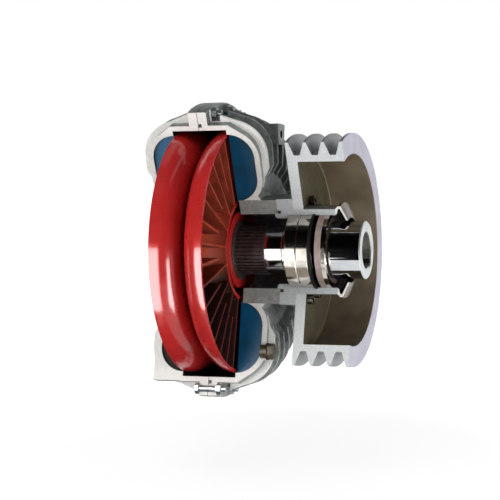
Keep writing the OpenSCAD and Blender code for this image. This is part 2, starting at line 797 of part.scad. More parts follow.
module runner_nuts() color("dimgray") placed() {
  face = web_face + runner_web_t;
  for (i = [0 : runner_bolt_count - 1])
    difference() {
      hexagon(i * 360 / runner_bolt_count, runner_bolt_circle, -face - runner_nut_h, runner_nut_h,
        runner_head_r * 1.75);
      stud(i * 360 / runner_bolt_count, runner_bolt_circle, -face - runner_nut_h - 1, runner_nut_h + 2,
        runner_bolt_d / 2 + seat_gap);
    }
}

module hub_ring(x) color("dimgray") placed()
  split_ring(spline_root_d / 2 - 0.5 + seat_gap, spline_root_d / 2 + 7, x, ring_t);
module right_hub_ring() hub_ring(hub_half);
module left_hub_ring() hub_ring(-hub_half - ring_t);

module shaft_circlip() color("dimgray") placed()
  split_ring(bearing_d / 2 - ring_depth + seat_gap, bearing_d / 2 + 3,
    race_a_x - ring_t - ring_room * 0.75, ring_t);

left_casing();
right_casing();
flange_o_ring();
flange_bolts();
flange_nuts();
fusible_plug();
filler_plug();
centre_plug();
plug_washers();
hub_o_ring();
bearing_housing();
pulley();
pulley_screws();
bearing_a_outer_race();
bearing_b_outer_race();
housing_circlip();
shaft_seal();
seal_keeper();
end_cap();
hollow_shaft();
runner_hub();
left_runner();
right_runner();
runner_bolts();
runner_nuts();
left_hub_ring();
right_hub_ring();
shaft_circlip();
bearing_a_inner_race();
bearing_b_inner_race();
bearing_a_balls();
bearing_a_cage();
bearing_b_balls();
bearing_b_cage();
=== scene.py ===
"""Looks of a sectioned fluid coupling with a V-belt pulley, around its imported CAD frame.

The coupling is a show piece: a wedge is cut out of its casing, pulley and bearing housing, so that the
painted runners, the shaft and the bearings stand free. Zones of a finish are given in millimetres, along
the shaft from the joint between the casing's flanges and outwards from the shaft's axis. A zone reaches a
hair past the CAD face that bounds it. Everything that Blender places is in metres.
"""

import json
import logging
import math
from collections.abc import Mapping, Sequence
from dataclasses import dataclass
from enum import Enum
from typing import Protocol

import bpy
from mathutils import Matrix, Vector

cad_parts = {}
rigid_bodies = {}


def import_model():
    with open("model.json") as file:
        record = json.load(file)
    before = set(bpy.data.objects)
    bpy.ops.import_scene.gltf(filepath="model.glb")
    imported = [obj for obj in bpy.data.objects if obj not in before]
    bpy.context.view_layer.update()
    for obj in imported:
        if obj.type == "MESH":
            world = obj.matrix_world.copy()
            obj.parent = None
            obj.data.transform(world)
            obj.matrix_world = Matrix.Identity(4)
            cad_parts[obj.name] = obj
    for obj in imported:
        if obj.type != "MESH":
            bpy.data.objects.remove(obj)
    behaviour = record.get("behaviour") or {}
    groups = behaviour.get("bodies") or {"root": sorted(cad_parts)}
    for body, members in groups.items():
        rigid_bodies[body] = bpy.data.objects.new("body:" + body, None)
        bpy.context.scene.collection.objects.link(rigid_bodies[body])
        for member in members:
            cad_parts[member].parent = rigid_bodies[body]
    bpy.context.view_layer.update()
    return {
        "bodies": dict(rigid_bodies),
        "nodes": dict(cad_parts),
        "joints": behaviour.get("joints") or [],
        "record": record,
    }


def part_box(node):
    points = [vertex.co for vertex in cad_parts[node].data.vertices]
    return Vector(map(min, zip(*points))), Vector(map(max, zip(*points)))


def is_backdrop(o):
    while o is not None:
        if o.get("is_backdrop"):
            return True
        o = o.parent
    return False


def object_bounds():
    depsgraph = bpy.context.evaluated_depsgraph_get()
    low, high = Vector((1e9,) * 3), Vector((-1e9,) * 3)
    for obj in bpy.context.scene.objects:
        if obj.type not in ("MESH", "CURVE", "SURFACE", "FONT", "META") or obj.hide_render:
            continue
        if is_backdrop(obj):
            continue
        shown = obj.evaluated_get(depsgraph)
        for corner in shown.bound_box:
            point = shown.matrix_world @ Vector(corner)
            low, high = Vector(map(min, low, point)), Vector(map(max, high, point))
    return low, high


LOG = logging.getLogger("fluid_coupling")
MM = 0.001
# Farther out than any point of the coupling, in millimetres, for zones that are open on a side.
FAR = 1000.0
# The values of a noise between which a surface goes from one of its two looks to the other.
PATCH_SPREAD = (0.32, 0.68)
GRAIN_SPREAD = (0.3, 0.7)
PATCH_DETAIL = 2.0
GRAIN_DETAIL = 3.0
# The width of a brushed line as a share of its length.
BRUSH_SHARE = 0.04
# The cosine between a flat face and its eased edge where the edge tone, real wear on some finishes and a
# painted highlight on others, is fullest and where it ends.
WEAR_AND_GLINT_FACING = (0.88, 0.99)
WEAR_AND_GLINT_MOST = 0.8
EASING_SAMPLES = 4
# Below this many soft bounces, a ray still shows a mirror image.
MIRROR_BOUNCES = 0.5
WHITE = (1.0, 1.0, 1.0, 1.0)

Feed = bpy.types.NodeSocket | float | Sequence[float]


def linear(code: str) -> tuple[float, float, float, float]:
    """Turns an sRGB hex colour into Blender's linear one.

    Args:
        code: the colour as "#RRGGBB".

    Returns:
        Red, green, blue and a full alpha, in linear light.
    """
    shares = [int(code[at : at + 2], 16) / 255 for at in (1, 3, 5)]
    red, green, blue = (
        share / 12.92 if share <= 0.04045 else ((share + 0.055) / 1.055) ** 2.4 for share in shares
    )
    return red, green, blue, 1.0


def add_node(
    tree: bpy.types.NodeTree, kind: str, out: str, feeds: Mapping[str, Feed], **settings: object
) -> bpy.types.NodeSocket | None:
    """Adds one shader node, sets it up and links it.

    Args:
        tree: the node tree that gets the node.
        kind: Blender's name of the node without "ShaderNode".
        out: the identifier of the output that is handed back, or "" where there is none.
        feeds: what goes into each input, by the input's identifier: an output or a constant.
        settings: the node's own properties.

    Returns:
        The output that was asked for.
    """
    node = tree.nodes.new("ShaderNode" + kind)
    for key, value in settings.items():
        setattr(node, key, value)
    inputs = {socket.identifier: socket for socket in node.inputs}
    for key, feed in feeds.items():
        if isinstance(feed, bpy.types.NodeSocket):
            tree.links.new(feed, inputs[key])
        else:
            inputs[key].default_value = feed
    return next((socket for socket in node.outputs if socket.identifier == out), None)


class Place:
    """Where a point of a surface lies on the coupling, in millimetres."""

    def __init__(self, tree: bpy.types.NodeTree, joint: float) -> None:
        """Adds the nodes that measure the point.

        Args:
            tree: the material's node tree.
            joint: the flange joint's place along the frame's X, in metres.
        """
        point = add_node(tree, "TexCoord", "Object", {})
        self.mm = add_node(
            tree,
            "VectorMath",
            "Vector",
            {"Vector": point, "Vector_001": (1 / MM,) * 3, "Vector_002": (-joint / MM, 0, 0)},
            operation="MULTIPLY_ADD",
        )
        split = add_node(tree, "SeparateXYZ", "X", {"Vector": self.mm}).node.outputs
        self.along, self.depth, self.height = split["X"], split["Y"], split["Z"]
        across = add_node(tree, "CombineXYZ", "Vector", {"Y": self.depth, "Z": self.height})
        self.radius = add_node(tree, "VectorMath", "Value", {"Vector": across}, operation="LENGTH")
        self.run = add_node(
            tree, "Math", "Value", {"Value": self.along, "Value_001": self.radius}, operation="ADD"
        )
        self.off_joint = add_node(tree, "Math", "Value", {"Value": self.along}, operation="ABSOLUTE")


class Zone(Protocol):
    """A part of a piece that has a finish of its own."""

    def mask(self, tree: bpy.types.NodeTree, place: Place) -> bpy.types.NodeSocket:
        """Adds the nodes that give 1 inside the zone and 0 outside it.

        Args:
            tree: the material's node tree.
            place: the point that is tested.

        Returns:
            The mask's output.
        """


@dataclass(frozen=True)
class Span:
    """The ring-shaped room between two places along the shaft and two radii."""

    along: tuple[float, float]
    radius: tuple[float, float]

    def mask(self, tree: bpy.types.NodeTree, place: Place) -> bpy.types.NodeSocket:
        """Adds the nodes that give 1 in the room and 0 outside it.

        Args:
            tree: the material's node tree.
            place: the point that is tested.

        Returns:
            The mask's output.
        """
        inside = [
            add_node(
                tree,
                "Math",
                "Value",
                {
                    "Value": measure,
                    "Value_001": (ends[0] + ends[1]) / 2,
                    "Value_002": (ends[1] - ends[0]) / 2,
                },
                operation="COMPARE",
            )
            for measure, ends in ((place.along, self.along), (place.radius, self.radius))
        ]
        return add_node(
            tree, "Math", "Value", {"Value": inside[0], "Value_001": inside[1]}, operation="MULTIPLY"
        )


@dataclass(frozen=True)
class CutFaces:
    """Two flat faces above and below the wedge, each in a plane through the shaft's axis.

    They lean back from the upright by some degrees and are met within a reach on either side.
    """

    lean: float = 19.0
    reach: float = 0.2

    def mask(self, tree: bpy.types.NodeTree, place: Place) -> bpy.types.NodeSocket:
        """Adds the nodes that give 1 on the faces and 0 elsewhere.

        Args:
            tree: the material's node tree.
            place: the point that is tested.

        Returns:
            The mask's output.
        """
        lean = math.radians(self.lean)
        rise = add_node(tree, "Math", "Value", {"Value": place.height}, operation="ABSOLUTE")
        slope = add_node(
            tree, "Math", "Value", {"Value": rise, "Value_001": math.sin(lean)}, operation="MULTIPLY"
        )
        gap = add_node(
            tree,
            "Math",
            "Value",
            {"Value": place.depth, "Value_001": math.cos(lean), "Value_002": slope},
            operation="MULTIPLY_ADD",
        )
        return add_node(
            tree,
            "Math",
            "Value",
            {"Value": gap, "Value_001": 0.0, "Value_002": self.reach},
            operation="COMPARE",
        )


@dataclass(frozen=True)
class LowerPart:
    """What lies below a height, with a soft upper limit: where shade is painted on the lower part of a
    piece.
    """

    top: float
    bottom: float

    def mask(self, tree: bpy.types.NodeTree, place: Place) -> bpy.types.NodeSocket:
        """Adds the nodes that give 1 below the limit, 0 above it and a slow change between.

        Args:
            tree: the material's node tree.
            place: the point that is tested.

        Returns:
            The mask's output.
        """
        return add_node(
            tree,
            "MapRange",
            "Result",
            {"Value": place.height, "From Min": self.top, "From Max": self.bottom},
        )


@dataclass(frozen=True)
class Bowl:
    """The round-backed oil space of a bowl that opens at a flat face, on both sides of the joint."""

    face: float
    depth: float
    radius: tuple[float, float]
    off_joint: tuple[float, float]
    slack: float = 0.3

    def mask(self, tree: bpy.types.NodeTree, place: Place) -> bpy.types.NodeSocket:
        """Adds the nodes that give 1 in the oil space and 0 outside it.

        Args:
            tree: the material's node tree.
            place: the point that is tested.

        Returns:
            The mask's output.
        """
        spine = add_node(
            tree,
            "Clamp",
            "Result",
            {
                "Value": place.radius,
                "Min": self.radius[0] + self.depth,
                "Max": self.radius[1] - self.depth,
            },
        )
        legs = [
            add_node(tree, "Math", "Value", {"Value": one, "Value_001": other}, operation="SUBTRACT")
            for one, other in ((place.off_joint, self.face), (place.radius, spine))
        ]
        leg = add_node(tree, "CombineXYZ", "Vector", {"X": legs[0], "Y": legs[1]})
        reach = add_node(tree, "VectorMath", "Value", {"Vector": leg}, operation="LENGTH")
        near = add_node(
            tree,
            "Math",
            "Value",
            {"Value": reach, "Value_001": self.depth + self.slack},
            operation="LESS_THAN",
        )
        within = add_node(
            tree,
            "Math",
            "Value",
            {
                "Value": place.off_joint,
                "Value_001": (self.off_joint[0] + self.off_joint[1]) / 2,
                "Value_002": (self.off_joint[1] - self.off_joint[0]) / 2,
            },
            operation="COMPARE",
        )
        return add_node(tree, "Math", "Value", {"Value": near, "Value_001": within}, operation="MULTIPLY")


class Marks(Enum):
    """What the making of a surface left on it."""

    GRAIN = "grain that is the same in each direction, of a sand mould or of sprayed paint"
    TURNED = "rings round the shaft, left by a lathe tool"
    BRUSHED = "fine lines along the shaft, left by a saw or an abrasive belt"


@dataclass(frozen=True)
class Layer:
    """What one skin, or several over each other, hand to the shader."""

    colour: bpy.types.NodeSocket
    height: bpy.types.NodeSocket
    rough: bpy.types.NodeSocket
    metal: Feed
    gloss: Feed
    coat: Feed

    def covered(self, tree: bpy.types.NodeTree, mask: bpy.types.NodeSocket, upper: "Layer") -> "Layer":
        """Lays another layer over this one. What is the same number in both stays a plain number.

        Args:
            tree: the material's node tree.
            mask: 1 where the upper layer shows.
            upper: the layer that goes on top.

        Returns:
            The two layers as one.
        """
        colour = add_node(
            tree,
            "Mix",
            "Result_Color",
            {"Factor_Float": mask, "A_Color": self.colour, "B_Color": upper.colour},
            data_type="RGBA",
        )
        pairs = (
            (self.height, upper.height),
            (self.rough, upper.rough),
            (self.metal, upper.metal),
            (self.gloss, upper.gloss),
            (self.coat, upper.coat),
        )
        numbers = [
            low
            if low == high
            else add_node(
                tree, "Mix", "Result_Float", {"Factor_Float": mask, "A_Float": low, "B_Float": high}
            )
            for low, high in pairs
        ]
        return Layer(colour, *numbers)


@dataclass(frozen=True)
class Skin:
    """One kind of surface: its two colours, its gloss and the marks of its making, in millimetres."""

    tone: str
    shade: str
    rough: float
    metal: float = 0.0
    patch: float = 12.0
    swing: float = 0.06
    marks: Marks = Marks.GRAIN
    grain: float = 2.0
    relief: float = 0.02
    gloss: float = 0.5
    coat: float = 0.0

    def layer(self, tree: bpy.types.NodeTree, place: Place) -> Layer:
        """Adds the skin's nodes.

        Args:
            tree: the material's node tree.
            place: the point that is dressed.

        Returns:
            The skin as a layer.
        """
        where = place.mm
        if self.marks is Marks.TURNED:
            where = add_node(tree, "CombineXYZ", "Vector", {"X": place.run})
        elif self.marks is Marks.BRUSHED:
            where = add_node(
                tree,
                "VectorMath",
                "Vector",
                {"Vector": place.mm, "Vector_001": (BRUSH_SHARE, 1.0, 1.0)},
                operation="MULTIPLY",
            )
        grain = add_node(
            tree, "TexNoise", "Fac", {"Vector": where, "Scale": 1 / self.grain, "Detail": GRAIN_DETAIL}
        )
        patches = add_node(
            tree, "TexNoise", "Fac", {"Vector": place.mm, "Scale": 1 / self.patch, "Detail": PATCH_DETAIL}
        )
        spread = add_node(
            tree,
            "MapRange",
            "Result",
            {"Value": patches, "From Min": PATCH_SPREAD[0], "From Max": PATCH_SPREAD[1]},
        )
        colour = add_node(
            tree,
            "Mix",
            "Result_Color",
            {"Factor_Float": spread, "A_Color": linear(self.shade), "B_Color": linear(self.tone)},
            data_type="RGBA",
        )
        rough = add_node(
            tree,
            "MapRange",
            "Result",
            {
                "Value": grain,
                "From Min": GRAIN_SPREAD[0],
                "From Max": GRAIN_SPREAD[1],
                "To Min": self.rough - self.swing,
                "To Max": self.rough + self.swing,
            },
        )
        height = add_node(
            tree, "Math", "Value", {"Value": grain, "Value_001": self.relief}, operation="MULTIPLY"
        )
        return Layer(colour, height, rough, self.metal, self.gloss, self.coat)


@dataclass(frozen=True)
class Finish:
    """A finish: a main skin, skins of its own where zones overlap, its edges and its coat. Some zones and
    edge tones are painted shade and highlight.
    """

    name: str
    skin: Skin
    zones: tuple[tuple[tuple[Zone, ...], Skin], ...] = ()
    edge: float = 0.5
    edge_wear_and_glint: str = ""
    coat_rough: float = 0.17

    def add_wear_and_glint(
        self, tree: bpy.types.NodeTree, colour: bpy.types.NodeSocket, eased: bpy.types.NodeSocket
    ) -> bpy.types.NodeSocket:
        """Adds the nodes that tint the colour along the edges, where the finish has an edge tone: real wear
        on some finishes and a painted highlight on others.

        Args:
            tree: the material's node tree.
            colour: the colour before the edge tint.
            eased: the normal with the edges eased.

        Returns:
            The colour with its tinted edges.
        """
        if not self.edge_wear_and_glint:
            return colour
        flat = add_node(tree, "NewGeometry", "Normal", {})
        facing = add_node(
            tree, "VectorMath", "Value", {"Vector": eased, "Vector_001": flat}, operation="DOT_PRODUCT"
        )
        wear_and_glint_share = add_node(
            tree,
            "MapRange",
            "Result",
            {
                "Value": facing,
                "From Min": WEAR_AND_GLINT_FACING[0],
                "From Max": WEAR_AND_GLINT_FACING[1],
                "To Min": WEAR_AND_GLINT_MOST,
                "To Max": 0.0,
            },
        )
        return add_node(
            tree,
            "Mix",
            "Result_Color",
            {"Factor_Float": wear_and_glint_share, "A_Color": colour, "B_Color": linear(self.edge_wear_and_glint)},
            data_type="RGBA",
        )

    def material(self, joint: float) -> bpy.types.Material:
        """Makes the material.

        Args:
            joint: the flange joint's place along the frame's X, in metres.

        Returns:
            The node material.
        """
        made = bpy.data.materials.new(self.name)
        made.use_nodes = True
        tree = made.node_tree
        tree.nodes.clear()
        place = Place(tree, joint)
        layer = self.skin.layer(tree, place)
        for zones, skin in self.zones:
            mask = zones[0].mask(tree, place)
            for zone in zones[1:]:
                mask = add_node(
                    tree,
                    "Math",
                    "Value",
                    {"Value": mask, "Value_001": zone.mask(tree, place)},
                    operation="MULTIPLY",
                )
            layer = layer.covered(tree, mask, skin.layer(tree, place))
        eased = add_node(tree, "Bevel", "Normal", {"Radius": self.edge * MM}, samples=EASING_SAMPLES)
        normal = add_node(
            tree, "Bump", "Normal", {"Distance": MM, "Height": layer.height, "Normal": eased}
        )
        shader = add_node(
            tree,
            "BsdfPrincipled",
            "BSDF",
            {
                "Base Color": self.add_wear_and_glint(tree, layer.colour, eased),
                "Metallic": layer.metal,
                "Roughness": layer.rough,
                "Normal": normal,
                "Specular IOR Level": layer.gloss,
                "Coat Weight": layer.coat,
                "Coat Roughness": self.coat_rough,
            },
        )
        add_node(tree, "OutputMaterial", "", {"Surface": shader})
        return made


# A pixel of the picture spans about 1.07 mm. Sand grain of 0.4 mm, a lathe's feed of 0.2 mm, saw lines of
# 0.3 mm and the grain of sprayed paint are too fine to show, so each grain is drawn coarser, from 1.4 mm up.

# Enamel over a cast wheel: deep red, a soft wide shine and a slight orange peel.
RED = Skin(
    "#BE2726", "#B02222", rough=0.3, patch=40.0, swing=0.05, grain=6.0, relief=0.02, gloss=0.1, coat=1.0
)
# The same enamel in the cells between the vanes, browner and darker: painted shade, with a duller gloss.
CELL_RED_SHADE = Skin(
    "#A03E26", "#782D1B", rough=0.5, patch=18.0, swing=0.08, grain=3.0, relief=0.04, gloss=0.2
)
# Painted shade in the lower cells: nearly black.
CELL_SHADE = Skin("#2E1611", "#1E100C", rough=0.5, patch=12.0, grain=3.0, relief=0.04, gloss=0.2)
# The vanes' open edges, lighter and more orange: a painted highlight.
VANE_EDGE_HIGHLIGHT = Skin("#C8452E", "#B23A28", rough=0.5, patch=18.0, swing=0.08, grain=3.0, relief=0.02, gloss=0.1)
# Oil-proof blue paint on the casing's bowls: dark, half glossy.
BLUE = Skin("#0A557D", "#08425F", rough=0.34, patch=30.0, swing=0.05, grain=5.0, relief=0.02, gloss=0.3)
# Sand-cast aluminium after shot blasting: grey, with a coarse bright grain.
CAST_ALUMINIUM = Skin("#A2A7A5", "#848A88", rough=0.46, metal=0.6, patch=7.0, grain=2.4, relief=0.2)
# The saw cut through the casting, painted white for show: matt, with faint specks. The same white is a
# painted highlight on the rib beside each cut.
SECTION_WHITE_AND_RIB_HIGHLIGHT = Skin("#F0EEEA", "#E4E1DC", rough=0.55, patch=2.2, grain=1.6, relief=0.02, gloss=0.15)
# The cut through the casing's hub, left darker: dull grey with saw lines along the shaft.
BARE_CUT = Skin(
    "#9A9B97", "#858682", rough=0.42, patch=4.0, marks=Marks.BRUSHED, grain=1.6, relief=0.03, gloss=0.15
)
# Near black: the inside of the casing, and painted shade on the lower part of the left bowls.
DARK_INSIDE_AND_SHADE = Skin("#1B1815", "#12100E", rough=0.5, patch=15.0, grain=3.0, relief=0.05, gloss=0.1)
# Turned grey iron: even grey with rings from the lathe.
TURNED_IRON = Skin(
    "#96989A", "#878A8C", rough=0.38, metal=0.7, patch=9.0, marks=Marks.TURNED, grain=1.4, relief=0.03
)
# The saw cut through the iron, painted pale grey for show.
SECTION_GREY = Skin("#D2D5D5", "#C6CACA", rough=0.5, patch=2.2, grain=1.6, relief=0.02, gloss=0.15)
# The same paint on the smaller bearing housing, a little darker.
HOUSING_GREY = Skin("#BDC1C1", "#AEB3B3", rough=0.5, patch=2.2, grain=1.6, relief=0.02, gloss=0.15)
# The pulley's faced end, painted lavender-grey over the tool's rings.
END_FACE = Skin("#B9B7C4", "#ABA9B7", rough=0.45, patch=20.0, marks=Marks.TURNED, grain=1.8, relief=0.02)
# The pulley's recess as cast, brown with a wash of rust-proof oil.
RECESS_BROWN = Skin("#93856F", "#7A6D59", rough=0.4, metal=0.2, patch=25.0, grain=3.0, relief=0.05)
# The web at the bottom of the recess, darker and more olive under the same oil.
WEB_OLIVE = Skin("#5A5440", "#464131", rough=0.4, metal=0.2, patch=20.0, grain=3.0, relief=0.05)
# Painted shade in the lower part of the recess: a darker brown.
RECESS_LOW_SHADE = Skin("#5E5444", "#4A4236", rough=0.36, patch=15.0, grain=3.0, relief=0.04)
# The parting line between the two halves, where dark sealant shows.
PARTING = Skin("#5A5650", "#45413C", rough=0.5, patch=3.0, grain=1.6, relief=0.01)
# Ground and polished shaft steel: a near mirror with faint rings.
GROUND_STEEL = Skin(
    "#D6D8DA", "#C8CBCE", rough=0.07, metal=1.0, swing=0.02, marks=Marks.TURNED, grain=2.0, relief=0.001
)
# Splines dark with oil and heat-treatment scale.
SPLINE_DARK = Skin("#4C3E3B", "#322826", rough=0.45, metal=0.4, patch=6.0, grain=2.0, relief=0.04)
# The shaft's faced end, paler and duller than the ground outside.
FACED_STEEL = Skin(
    "#CDD2D2", "#BCC2C2", rough=0.34, metal=0.8, marks=Marks.TURNED, grain=1.4, relief=0.02
)
# The bore's wall, honed and slightly oily.
HONED_STEEL = Skin("#8E8D86", "#74736D", rough=0.32, metal=0.5, patch=14.0, grain=2.0, relief=0.01)
# Lapped bearing steel, warm and bright.
BEARING_STEEL = Skin(
    "#D8D3CA", "#C9C3B9", rough=0.13, metal=1.0, swing=0.03, marks=Marks.TURNED, grain=2.2, relief=0.003
)


class Kit:
    """The frame's nodes, and the one place along the shaft that the zones are measured from."""

    def __init__(self, frame: dict) -> None:
        """Keeps the frame's nodes and finds the flange joint.
        """
        self.nodes: dict[str, bpy.types.Object] = frame["nodes"]
        self.joint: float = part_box("right_casing")[0].x

    def dress(self, names: Sequence[str], finish: Finish) -> None:
        """Gives CAD nodes a finish.

        Args:
            names: the nodes.
            finish: what they get.
        """
        made = finish.material(self.joint)
        for name in names:
            for slot in self.nodes[name].material_slots:
                slot.material = made
            LOG.info("%s wears %s", name, finish.name)


@dataclass(frozen=True)
class Casing:
    """The two casing halves with their flange bolts, plugs and O-rings."""

    inside_half: float = 29.35
    inside_radius: float = 136.7
    bowl_face: float = 29.3
    bowl_from: float = 29.0
    bowl_depth: float = 26.2
    bowl_radius: tuple[float, float] = (56.5, 131.5)
    hub_along: tuple[float, float] = (29.4, 73.0)
    hub_radius: float = 57.6
    first_rib_lean: float = 14.0
    rib_half: float = 1.9
    rib_radius: tuple[float, float] = (70.0, 155.0)
    line_half: float = 0.3
    flange_radius: tuple[float, float] = (136.5, 157.0)
    shade_top: float = 0.0
    shade_bottom: float = -40.0

    def dress(self, kit: Kit) -> None:
        """Gives the casing's pieces their finishes.

        Args:
            kit: the frame's nodes.
        """
        inside = Span((-self.inside_half, self.inside_half), (0.0, self.inside_radius))
        bowls = Bowl(self.bowl_face, self.bowl_depth, self.bowl_radius, (self.bowl_from, FAR))
        left_side = Span((-FAR, 0.0), (0.0, FAR))
        shaded_low = LowerPart(self.shade_top, self.shade_bottom)
        hub = Span(self.hub_along, (0.0, self.hub_radius))
        first_ribs = CutFaces(self.first_rib_lean, self.rib_half)
        outside = Span((-FAR, FAR), self.rib_radius)
        rim_line = Span((-self.line_half, self.line_half), (self.flange_radius[0], FAR))
        parting = Span((-self.line_half, self.line_half), self.flange_radius)
        kit.dress(
            ["left_casing", "right_casing"],
            Finish(
                "sand_cast_aluminium",
                CAST_ALUMINIUM,
                (
                    # The side face of the rib beside each cut gets the cut's white: a painted highlight for
                    # the front light on it.
                    ((first_ribs, outside), SECTION_WHITE_AND_RIB_HIGHLIGHT),
                    ((rim_line,), PARTING),
                    ((inside,), DARK_INSIDE_AND_SHADE),
                    ((bowls,), BLUE),
                    # Painted shade on the lower part of the left bowls.
                    ((bowls, left_side, shaded_low), DARK_INSIDE_AND_SHADE),
                    ((CutFaces(),), SECTION_WHITE_AND_RIB_HIGHLIGHT),
                    ((CutFaces(), hub), BARE_CUT),
                    ((CutFaces(), parting), PARTING),
                ),
                edge=0.8,
            ),
        )
        # Zinc plate: pale, faintly blue, with soft patches.
        zinc = Skin("#9CA2A2", "#7E8587", rough=0.36, metal=0.7, patch=4.0, grain=1.6, relief=0.02)
        kit.dress(
            ["flange_bolts", "flange_nuts", "filler_plug", "centre_plug"],
            Finish("zinc_plated_steel", zinc, edge=0.3, edge_wear_and_glint="#B8BCBC"),
        )
        # A fusible plug's brass, dull brown with a green bloom.
        tarnish = Skin("#42402E", "#2E241A", rough=0.46, metal=0.3, patch=5.0, grain=2.0, relief=0.05)
        kit.dress(["fusible_plug"], Finish("tarnished_brass", tarnish, edge=0.3, edge_wear_and_glint="#6E6040"))
        # Copper gone brown in oil.
        copper = Skin("#4E3528", "#3E2A20", rough=0.42, metal=0.6, patch=4.0, grain=1.6, relief=0.02)
        kit.dress(["plug_washers"], Finish("annealed_copper", copper, edge=0.2))
        # Moulded nitrile rubber: black and matt, a dark dot in the cut.
        rubber = Skin("#171615", "#0F0E0E", rough=0.6, patch=6.0, grain=1.6, relief=0.02)
        kit.dress(["flange_o_ring", "hub_o_ring"], Finish("nitrile_rubber", rubber, edge=0.2))


@dataclass(frozen=True)
class Drive:
    """The belt pulley, the bearing housing that carries it, and what closes the housing."""

    recess_along: tuple[float, float] = (100.8, 150.6)
    recess_radius: float = 100.1
    web_along: tuple[float, float] = (100.8, 101.3)
    web_radius: float = 99.4
    end_from: float = 150.7
    shade_top: float = -40.0
    shade_bottom: float = -100.0

    def dress(self, kit: Kit) -> None:
        """Gives the pulley's and housing's pieces their finishes.

        Args:
            kit: the frame's nodes.
        """
        recess = Span(self.recess_along, (0.0, self.recess_radius))
        web = Span(self.web_along, (0.0, self.web_radius))
        shaded_low = LowerPart(self.shade_top, self.shade_bottom)
        end = Span((self.end_from, FAR), (0.0, FAR))
        kit.dress(
            ["pulley"],
            Finish(
                "turned_grey_iron",
                TURNED_IRON,
                (
                    ((recess,), RECESS_BROWN),
                    ((web,), WEB_OLIVE),
                    # Painted shade: darker towards the bottom of the recess.
                    ((recess, shaded_low), RECESS_LOW_SHADE),
                    ((end,), END_FACE),
                    ((CutFaces(),), SECTION_GREY),
                ),
                edge=0.8,
            ),
        )
        kit.dress(
            ["bearing_housing"],
            Finish("faced_housing_iron", TURNED_IRON, (((CutFaces(),), HOUSING_GREY),), edge=0.5),
        )
        # Screw steel under thin oil: dark and shiny, with a painted highlight on the corners.
        oiled = Skin("#6A655E", "#4E4944", rough=0.2, metal=0.9, patch=5.0, grain=1.6, relief=0.02)
        kit.dress(["pulley_screws"], Finish("oiled_screw_steel", oiled, edge=0.4, edge_wear_and_glint="#D2CEC6"))
        # A pressed cap of steel sheet, its brown a painted reflection of the pulley's recess, with a white
        # painted cut.
        sheet = Skin("#7A6E62", "#5E544A", rough=0.28, metal=0.8, patch=8.0, grain=2.0, relief=0.02)
        kit.dress(
            ["end_cap"],
            Finish("recess_tinted_steel_sheet", sheet, (((CutFaces(),), SECTION_WHITE_AND_RIB_HIGHLIGHT),), edge=0.3),
        )
        # Spring steel with its blue-black scale: dark and matt beside the bright races.
        spring = Skin("#1E1E1F", "#151516", rough=0.5, patch=6.0, grain=1.6, relief=0.01, gloss=0.1)
        kit.dress(["housing_circlip", "shaft_circlip"], Finish("blued_spring_steel", spring, edge=0.2))
        # Moulded seal rubber, pinkish brown, with the mould's turned rings.
        seal = Skin("#9A8782", "#86746F", rough=0.45, patch=8.0, marks=Marks.TURNED, grain=1.6, relief=0.02)
        kit.dress(["shaft_seal"], Finish("brown_seal_rubber", seal, edge=0.3))
        kit.dress(["seal_keeper"], Finish("turned_keeper_steel", BEARING_STEEL, edge=0.3))


@dataclass(frozen=True)
class Rotor:
    """The two painted runners on their hub, and the splined hollow shaft."""

    face: float = 27.8
    edge_from: float = 27.6
    bowl_depth: float = 22.0
    bowl_radius: tuple[float, float] = (53.0, 127.5)
    spline_along: tuple[float, float] = (-29.5, 59.5)
    spline_radius: tuple[float, float] = (24.0, 27.0)
    tip_from: float = 162.1
    bore_radius: float = 19.1
    shade_top: float = 0.0
    shade_bottom: float = -25.0

    def dress(self, kit: Kit) -> None:
        """Gives the rotor's pieces their finishes.

        Args:
            kit: the frame's nodes.
        """
        cells = Bowl(self.face, self.bowl_depth, self.bowl_radius, (0.0, self.edge_from))
        edges = Bowl(self.face, self.bowl_depth, self.bowl_radius, (self.edge_from, FAR))
        shaded_low = LowerPart(self.shade_top, self.shade_bottom)
        kit.dress(
            ["left_runner", "right_runner", "runner_hub"],
            Finish(
                "red_enamel",
                RED,
                # Painted shade in the cells, darkest in the lower ones, and a painted highlight on the
                # vanes' open edges.
                (((cells,), CELL_RED_SHADE), ((cells, shaded_low), CELL_SHADE), ((edges,), VANE_EDGE_HIGHLIGHT)),
                edge=0.6,
                # The lighter red along the edges is a painted highlight.
                edge_wear_and_glint="#D8483A",
            ),
        )
        splines = Span(self.spline_along, self.spline_radius)
        tip = Span((self.tip_from, FAR), (0.0, FAR))
        bore = Span((-FAR, FAR), (0.0, self.bore_radius))
        kit.dress(
            ["hollow_shaft"],
            Finish(
                "ground_shaft_steel",
                GROUND_STEEL,
                (((splines,), SPLINE_DARK), ((tip,), FACED_STEEL), ((bore,), HONED_STEEL)),
                edge=0.2,
            ),
        )
        # Steel blackened in hot oil: warm dark brown, with greyer edges.
        black = Skin("#5E4E48", "#463A35", rough=0.4, metal=0.5, patch=5.0, grain=1.6, relief=0.02)
        kit.dress(
            ["runner_bolts", "runner_nuts", "left_hub_ring", "right_hub_ring"],
            Finish("blackened_steel", black, edge=0.3, edge_wear_and_glint="#77706A"),
        )


